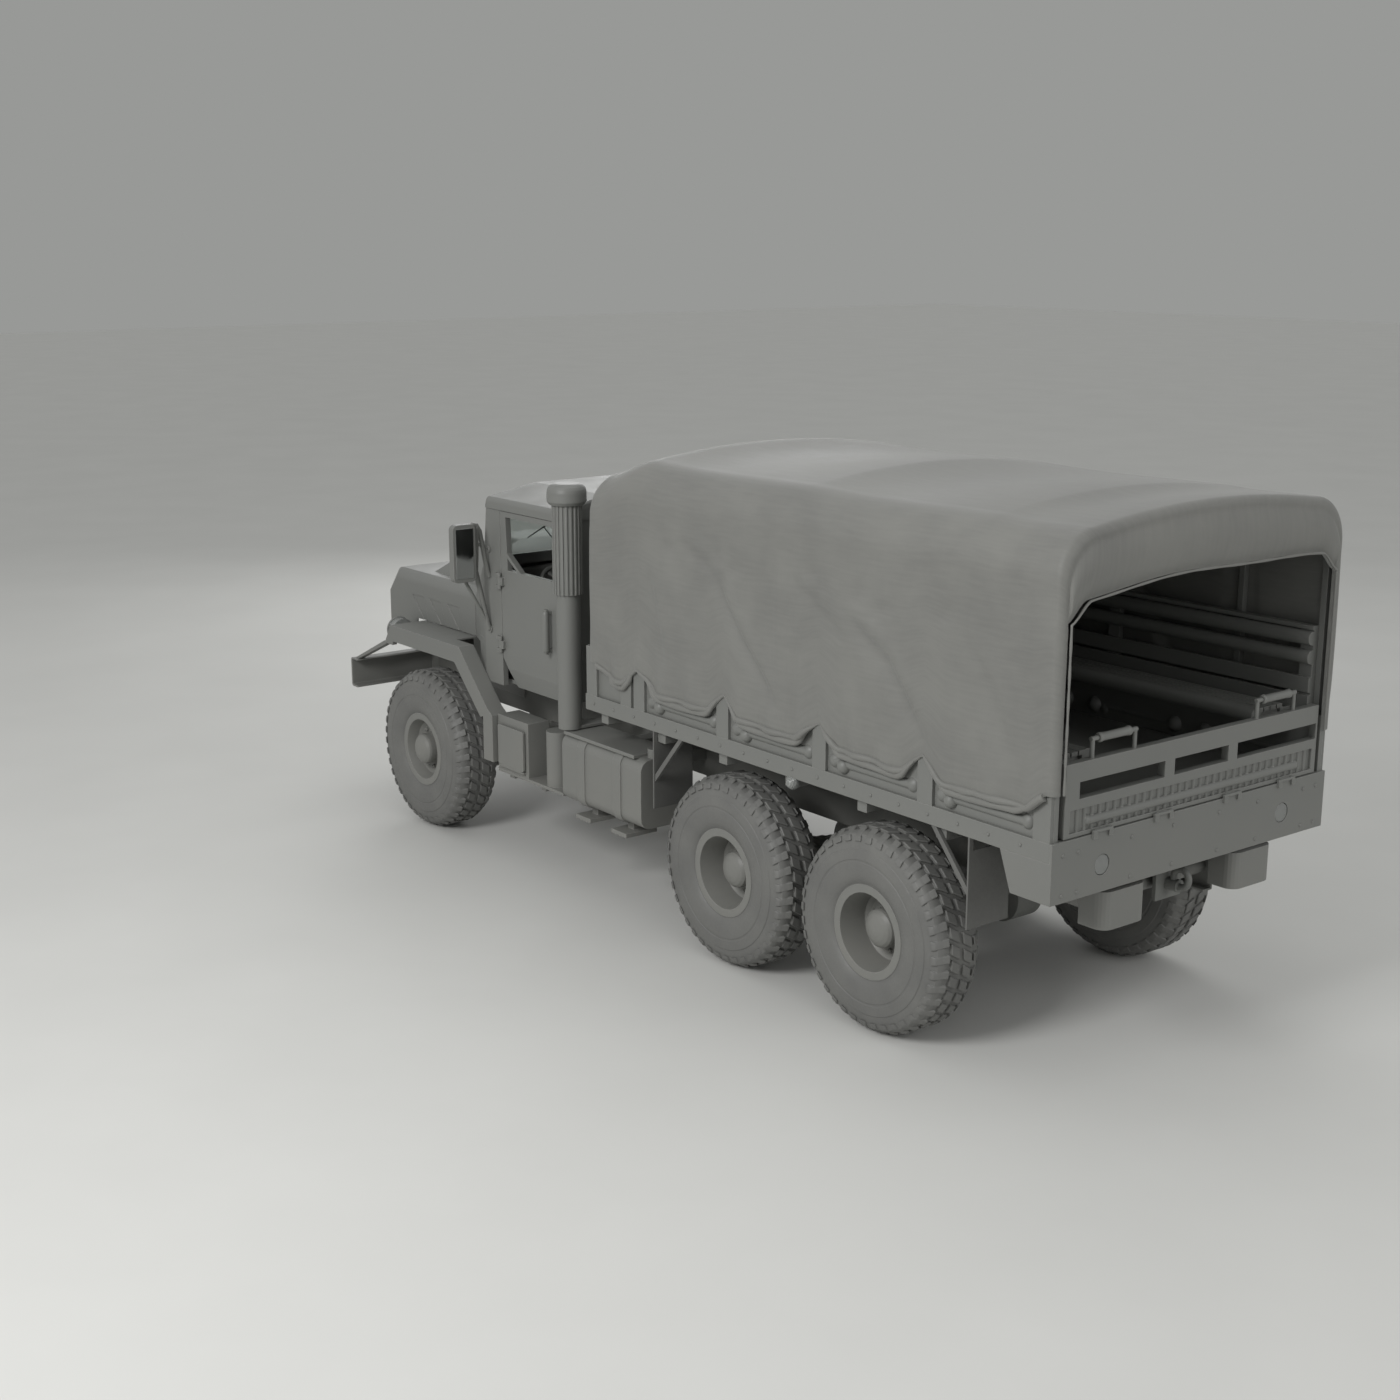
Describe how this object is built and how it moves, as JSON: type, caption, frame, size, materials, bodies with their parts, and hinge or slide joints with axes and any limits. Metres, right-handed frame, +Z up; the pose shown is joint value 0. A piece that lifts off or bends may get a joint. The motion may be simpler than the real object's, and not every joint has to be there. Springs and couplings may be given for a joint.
{
  "type": "military cargo truck",
  "caption": "Bonneted six-wheel-drive cargo truck with big single tyres, a two-door cab, a steel load bed with folding benches and a hooped canvas cover.",
  "frame": {"origin": "on the ground under the middle of the truck's length and width", "axes": "+X forward to the bumper, +Y to the truck's left side, +Z up"},
  "size_m": [7.81, 2.79, 3.24],
  "materials": {
    "paint": "satin",
    "underbody": "matte",
    "cab_trim": "matte",
    "glass": "gloss",
    "canvas": "matte",
    "rubber": "matte",
    "tyre": "matte",
    "exhaust": "satin",
    "lens": "gloss"
  },
  "bodies": {
    "truck": {"chassis_frame": "underbody", "front_bumper": "paint", "engine_block": "underbody", "radiator": "underbody", "front_axle": "underbody", "rear_axles": "underbody", "leaf_springs": "underbody", "driveline": "underbody", "fenders": "paint", "headlamps": "paint", "cab_floor": "cab_trim", "cab_cowl": "paint", "cab_back": "paint", "cab_roof": "paint", "cab_glass": "glass", "cab_seats": "cab_trim", "dashboard": "cab_trim", "mirrors": "paint", "intake_stack": "paint", "exhaust_stack": "exhaust", "toolbox": "paint", "battery_box": "paint", "air_tanks": "paint", "fuel_tank": "paint", "bed_floor": "paint", "bed_sides": "paint", "bed_headboard": "paint", "rear_sill": "paint", "side_racks": "paint", "bows": "underbody", "canvas_cover": "canvas", "mudflaps": "rubber", "bumperettes": "paint", "pintle_hook": "underbody", "lamps": "lens"},
    "hood": {"hood": "paint", "grille": "underbody"},
    "door_left": {"door_left": "paint"},
    "door_right": {"door_right": "paint"},
    "steering_wheel": {"steering_wheel": "cab_trim"},
    "knuckle_left": {"knuckle_left": "underbody"},
    "knuckle_right": {"knuckle_right": "underbody"},
    "tie_rod": {"tie_rod": "underbody"},
    "tailgate": {"tailgate": "paint"},
    "bench_left": {"bench_left": "paint"},
    "bench_right": {"bench_right": "paint"},
    "toolbox_door": {"toolbox_door": "paint"},
    "wheel_front_left": {"rim_front_left": "paint", "tyre_front_left": "tyre"},
    "wheel_front_right": {"rim_front_right": "paint", "tyre_front_right": "tyre"},
    "wheel_mid_left": {"rim_mid_left": "paint", "tyre_mid_left": "tyre"},
    "wheel_mid_right": {"rim_mid_right": "paint", "tyre_mid_right": "tyre"},
    "wheel_rear_left": {"rim_rear_left": "paint", "tyre_rear_left": "tyre"},
    "wheel_rear_right": {"rim_rear_right": "paint", "tyre_rear_right": "tyre"}
  },
  "joints": [
    {"name": "wheel_front_left_spin", "type": "hinge", "parent": "knuckle_left", "child": "wheel_front_left", "pos_m": [2.73, 1.05, 0.63], "axis": [0, 1, 0], "continuous": true},
    {"name": "wheel_front_right_spin", "type": "hinge", "parent": "knuckle_right", "child": "wheel_front_right", "pos_m": [2.73, -1.05, 0.63], "axis": [0, 1, 0], "continuous": true},
    {"name": "wheel_mid_left_spin", "type": "hinge", "parent": "truck", "child": "wheel_mid_left", "pos_m": [-1.134, 1.05, 0.63], "axis": [0, 1, 0], "continuous": true},
    {"name": "wheel_mid_right_spin", "type": "hinge", "parent": "truck", "child": "wheel_mid_right", "pos_m": [-1.134, -1.05, 0.63], "axis": [0, 1, 0], "continuous": true},
    {"name": "wheel_rear_left_spin", "type": "hinge", "parent": "truck", "child": "wheel_rear_left", "pos_m": [-2.506, 1.05, 0.63], "axis": [0, 1, 0], "continuous": true},
    {"name": "wheel_rear_right_spin", "type": "hinge", "parent": "truck", "child": "wheel_rear_right", "pos_m": [-2.506, -1.05, 0.63], "axis": [0, 1, 0], "continuous": true},
    {"name": "steer_left", "type": "hinge", "parent": "truck", "child": "knuckle_left", "pos_m": [2.73, 0.82, 0.63], "axis": [0, 0, 1], "range_deg": [-28, 28]},
    {"name": "steer_right", "type": "hinge", "parent": "truck", "child": "knuckle_right", "pos_m": [2.73, -0.82, 0.63], "axis": [0, 0, 1], "range_deg": [-28, 28]},
    {"name": "tie_rod_swing", "type": "hinge", "parent": "knuckle_left", "child": "tie_rod", "pos_m": [2.51, 0.82, 0.466], "axis": [0, 0, 1], "range_deg": [-28, 28]},
    {"name": "steering_wheel_turn", "type": "hinge", "parent": "truck", "child": "steering_wheel", "pos_m": [1.66, 0.48, 2.03], "axis": [-0.5, 0, 0.866], "range_deg": [-504, 504]},
    {"name": "hood_tilt", "type": "hinge", "parent": "truck", "child": "hood", "pos_m": [3.73, 0, 1.44], "axis": [0, 1, 0], "range_deg": [0, 65]},
    {"name": "door_left_swing", "type": "hinge", "parent": "truck", "child": "door_left", "pos_m": [1.738, 1.066, 1.9], "axis": [0, 0, -1], "range_deg": [0, 70]},
    {"name": "door_right_swing", "type": "hinge", "parent": "truck", "child": "door_right", "pos_m": [1.738, -1.066, 1.9], "axis": [0, 0, 1], "range_deg": [0, 70]},
    {"name": "tailgate_drop", "type": "hinge", "parent": "truck", "child": "tailgate", "pos_m": [-3.895, 0, 1.53], "axis": [0, -1, 0], "range_deg": [0, 180]},
    {"name": "bench_left_fold", "type": "hinge", "parent": "truck", "child": "bench_left", "pos_m": [-1.7, 1, 1.88], "axis": [-1, 0, 0], "range_deg": [0, 85]},
    {"name": "bench_right_fold", "type": "hinge", "parent": "truck", "child": "bench_right", "pos_m": [-1.7, -1, 1.88], "axis": [1, 0, 0], "range_deg": [0, 85]},
    {"name": "toolbox_door_drop", "type": "hinge", "parent": "truck", "child": "toolbox_door", "pos_m": [1.47, 1.16, 0.734], "axis": [-1, 0, 0], "range_deg": [0, 90]}
  ],
  "couplings": [
    {"joint": "steer_right", "follows": "steer_left", "ratio": 1},
    {"joint": "tie_rod_swing", "follows": "steer_left", "ratio": -1},
    {"joint": "steering_wheel_turn", "follows": "steer_left", "ratio": 18}
  ]
}
